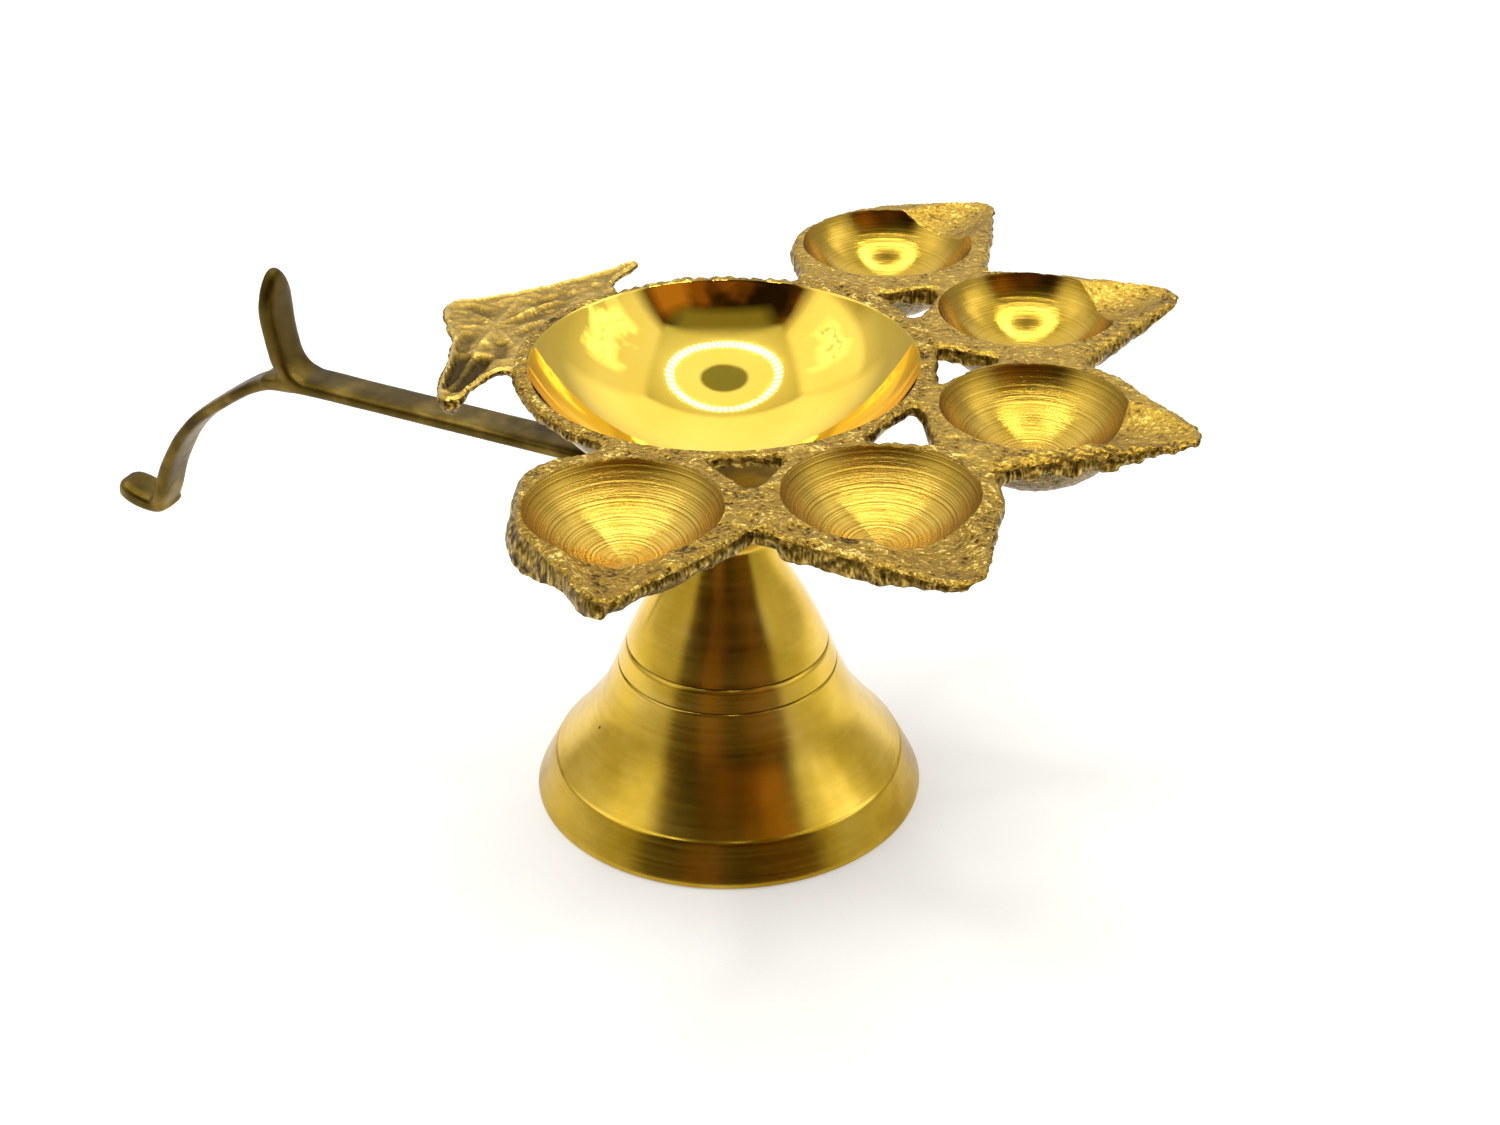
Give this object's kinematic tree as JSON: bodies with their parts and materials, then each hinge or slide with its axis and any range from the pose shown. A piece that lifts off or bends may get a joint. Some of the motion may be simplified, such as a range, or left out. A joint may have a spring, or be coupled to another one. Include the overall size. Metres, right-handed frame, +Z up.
{
  "type": "aarti oil lamp",
  "caption": "Cast brass aarti lamp: a round bowl ringed by leaf-shaped wick cups, with a hand guard and a long handle, on a bell-shaped pedestal that screws off.",
  "frame": {"origin": "middle of the lamp's footprint, on the surface it stands on; the pedestal's axis is 23.9 mm along +X from it", "axes": "+Z up; the handle points within 3 degrees of -X and the middle wick cup within 5 degrees of +X"},
  "size_m": [0.1958, 0.1478, 0.0768],
  "materials": {
    "polished_brass": "mirror polished inside, as cast outside",
    "bored_brass": "bored cups with fine tool rings, rough sand-cast frame",
    "cast_brass": "sand cast with chased leaf relief",
    "handle_brass": "dull, tarnished casting",
    "screw_brass": "turned",
    "satin_brass": "turned and buffed to a satin"
  },
  "bodies": {
    "pedestal": {"pedestal": "satin_brass"},
    "washer": {"clamp_washer": "screw_brass"},
    "lamp_head": {"bowl": "polished_brass", "petal_cup_1": "bored_brass", "petal_cup_2": "bored_brass", "petal_cup_3": "bored_brass", "petal_cup_4": "bored_brass", "petal_cup_5": "bored_brass", "hand_guard": "cast_brass", "handle_bar": "handle_brass", "thumb_rest": "handle_brass", "handle_tail": "handle_brass", "handle_toe": "handle_brass", "stud": "screw_brass"}
  },
  "joints": [
    {"name": "lift", "type": "slide", "parent": "pedestal", "child": "washer", "axis": [0, 0, 1], "range_m": [0, 0.0084]},
    {"name": "unscrew", "type": "hinge", "parent": "washer", "child": "lamp_head", "pos_m": [0.02389, -0.00227, 0.0532], "axis": [0, 0, 1], "range_deg": [0, 2988]}
  ],
  "couplings": [
    {"joint": "lift", "follows": "unscrew", "m_per_rad": 0.00015915}
  ]
}
